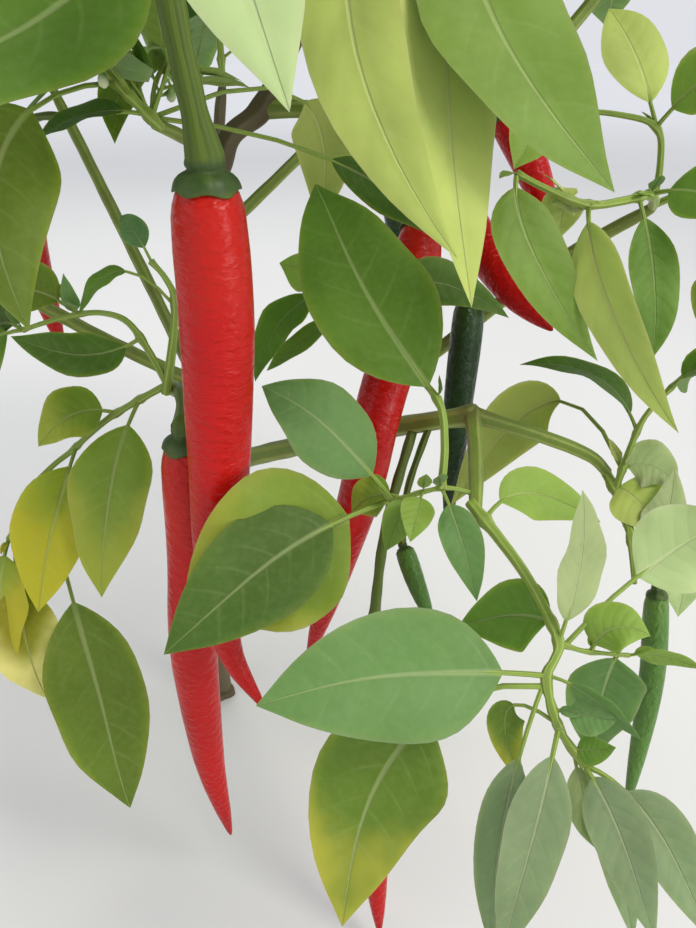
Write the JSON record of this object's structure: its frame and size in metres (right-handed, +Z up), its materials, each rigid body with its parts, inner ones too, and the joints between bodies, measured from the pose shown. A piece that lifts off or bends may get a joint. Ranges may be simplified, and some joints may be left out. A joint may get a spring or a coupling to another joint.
{
  "type": "chilli pepper plant",
  "caption": "Chilli pepper plant with a low-forking stem, thin boughs, masses of pointed leaves and long hanging pods, red when ripe and dark green before.",
  "frame": {"origin": "middle of the stem's flat cut foot, on the ground", "axes": "+Z up, -Y to the plant's front, where most pods hang, +X to the right seen from there"},
  "size_m": [0.4162, 0.3945, 0.4695],
  "materials": {
    "stem": "ribbed green stem, a little brown at the foot",
    "stalk": "smooth ribbed green fruit stalk and cap",
    "ripe_pod": "glossy red skin with fine cross wrinkles",
    "unripe_pod": "glossy very dark green skin",
    "foliage": "soft green leaf blades with paler ribs, some turning yellow"
  },
  "bodies": {
    "root": {"bough_back": "stem", "bough_back_left": "stem", "bough_back_right": "stem", "bough_far_right": "stem", "bough_front_left": "stem", "bough_front_right": "stem", "bough_high_right": "stem", "bough_left": "stem", "bough_middle": "stem", "bough_right": "stem", "bough_top": "stem", "bough_towards_front": "stem", "bough_upper_front": "stem", "bough_upper_left": "stem", "bough_upper_right": "stem", "leaves_back": "foliage", "leaves_back_left": "foliage", "leaves_back_right": "foliage", "leaves_facing_front": "foliage", "leaves_far_right": "foliage", "leaves_front_left": "foliage", "leaves_high_right": "foliage", "leaves_inner": "foliage", "leaves_left": "foliage", "leaves_right_front": "foliage", "leaves_top": "foliage", "leaves_upper_front": "foliage", "leaves_upper_left": "foliage", "leaves_upper_right": "foliage", "main_stem": "stem", "pod_back": "ripe_pod", "pod_back_left": "ripe_pod", "pod_back_right": "unripe_pod", "pod_front": "ripe_pod", "pod_front_left": "ripe_pod", "pod_high_right": "ripe_pod", "pod_left": "ripe_pod", "pod_low": "ripe_pod", "pod_middle": "ripe_pod", "pod_middle_right": "ripe_pod", "pod_unripe_long": "unripe_pod", "pod_unripe_right": "unripe_pod", "pod_unripe_small": "unripe_pod", "stalk_back": "stalk", "stalk_back_left": "stalk", "stalk_back_right": "stalk", "stalk_front": "stalk", "stalk_front_left": "stalk", "stalk_high_right": "stalk", "stalk_left": "stalk", "stalk_low": "stalk", "stalk_middle": "stalk", "stalk_middle_right": "stalk", "stalk_unripe_long": "stalk", "stalk_unripe_right": "stalk", "stalk_unripe_small": "stalk"}
  },
  "joints": []
}
